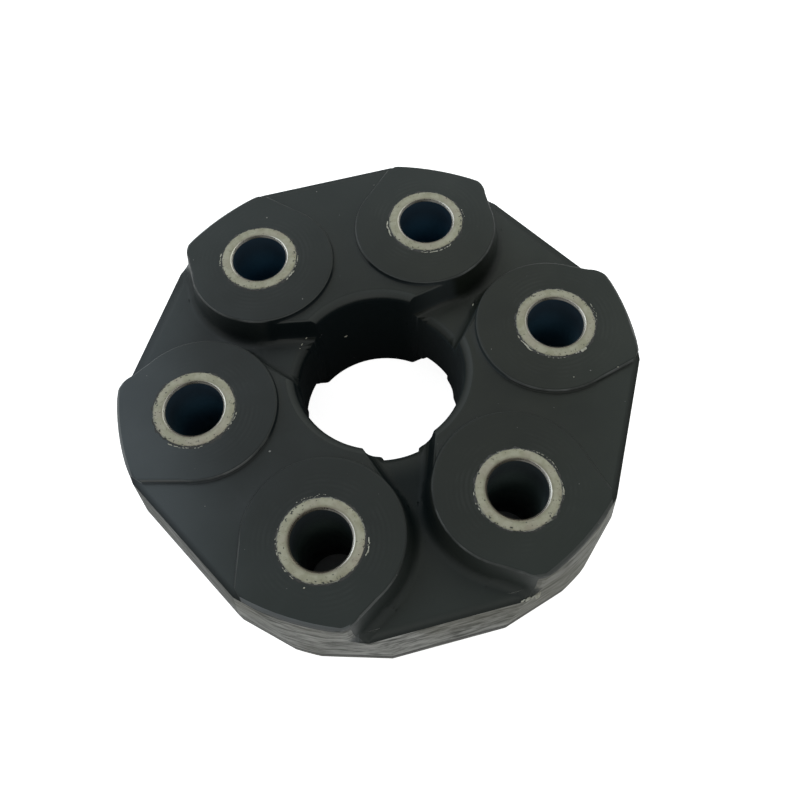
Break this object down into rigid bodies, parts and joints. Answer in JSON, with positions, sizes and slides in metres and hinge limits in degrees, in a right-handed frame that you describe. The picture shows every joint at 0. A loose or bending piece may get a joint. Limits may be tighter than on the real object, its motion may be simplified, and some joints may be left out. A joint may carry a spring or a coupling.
{
  "type": "driveshaft flex disc",
  "caption": "Rubber flex disc coupling with steel bolt sleeves round a centre hole; joins two driveshaft yokes and takes up angle and shock.",
  "frame": {"origin": "centre of the disc, on the shaft axis and on the middle plane between the two faces", "axes": "+Z along the shaft axis, towards the face shown in the picture; +X through the middle of one sleeve"},
  "size_m": [0.1406, 0.1346, 0.04],
  "materials": {
    "rubber": "moulded black rubber, semi-matte with faint rub marks, scuffed pale grey on the outer wall",
    "sleeve_steel": "zinc-plated steel, faced ends, dull warm grey",
    "cord": "rubberised polyester cord, hidden",
    "collar_steel": "pressed sheet steel, hidden"
  },
  "bodies": {
    "root": {"rubber_body": "rubber", "sleeve_1": "sleeve_steel", "sleeve_2": "sleeve_steel", "sleeve_3": "sleeve_steel", "sleeve_4": "sleeve_steel", "sleeve_5": "sleeve_steel", "sleeve_6": "sleeve_steel", "low_cord_1": "cord", "low_cord_2": "cord", "low_cord_3": "cord", "upper_cord_1": "cord", "upper_cord_2": "cord", "upper_cord_3": "cord", "lower_cord_1": "cord", "lower_cord_2": "cord", "lower_cord_3": "cord", "top_collar_1": "collar_steel", "top_collar_2": "collar_steel", "top_collar_3": "collar_steel", "top_collar_4": "collar_steel", "top_collar_5": "collar_steel", "top_collar_6": "collar_steel", "upper_collar_1": "collar_steel", "upper_collar_2": "collar_steel", "upper_collar_3": "collar_steel", "upper_collar_4": "collar_steel", "upper_collar_5": "collar_steel", "upper_collar_6": "collar_steel", "lower_collar_1": "collar_steel", "lower_collar_2": "collar_steel", "lower_collar_3": "collar_steel", "lower_collar_4": "collar_steel", "lower_collar_5": "collar_steel", "lower_collar_6": "collar_steel", "bottom_collar_1": "collar_steel", "bottom_collar_2": "collar_steel", "bottom_collar_3": "collar_steel", "bottom_collar_4": "collar_steel", "bottom_collar_5": "collar_steel", "bottom_collar_6": "collar_steel"}
  },
  "joints": []
}
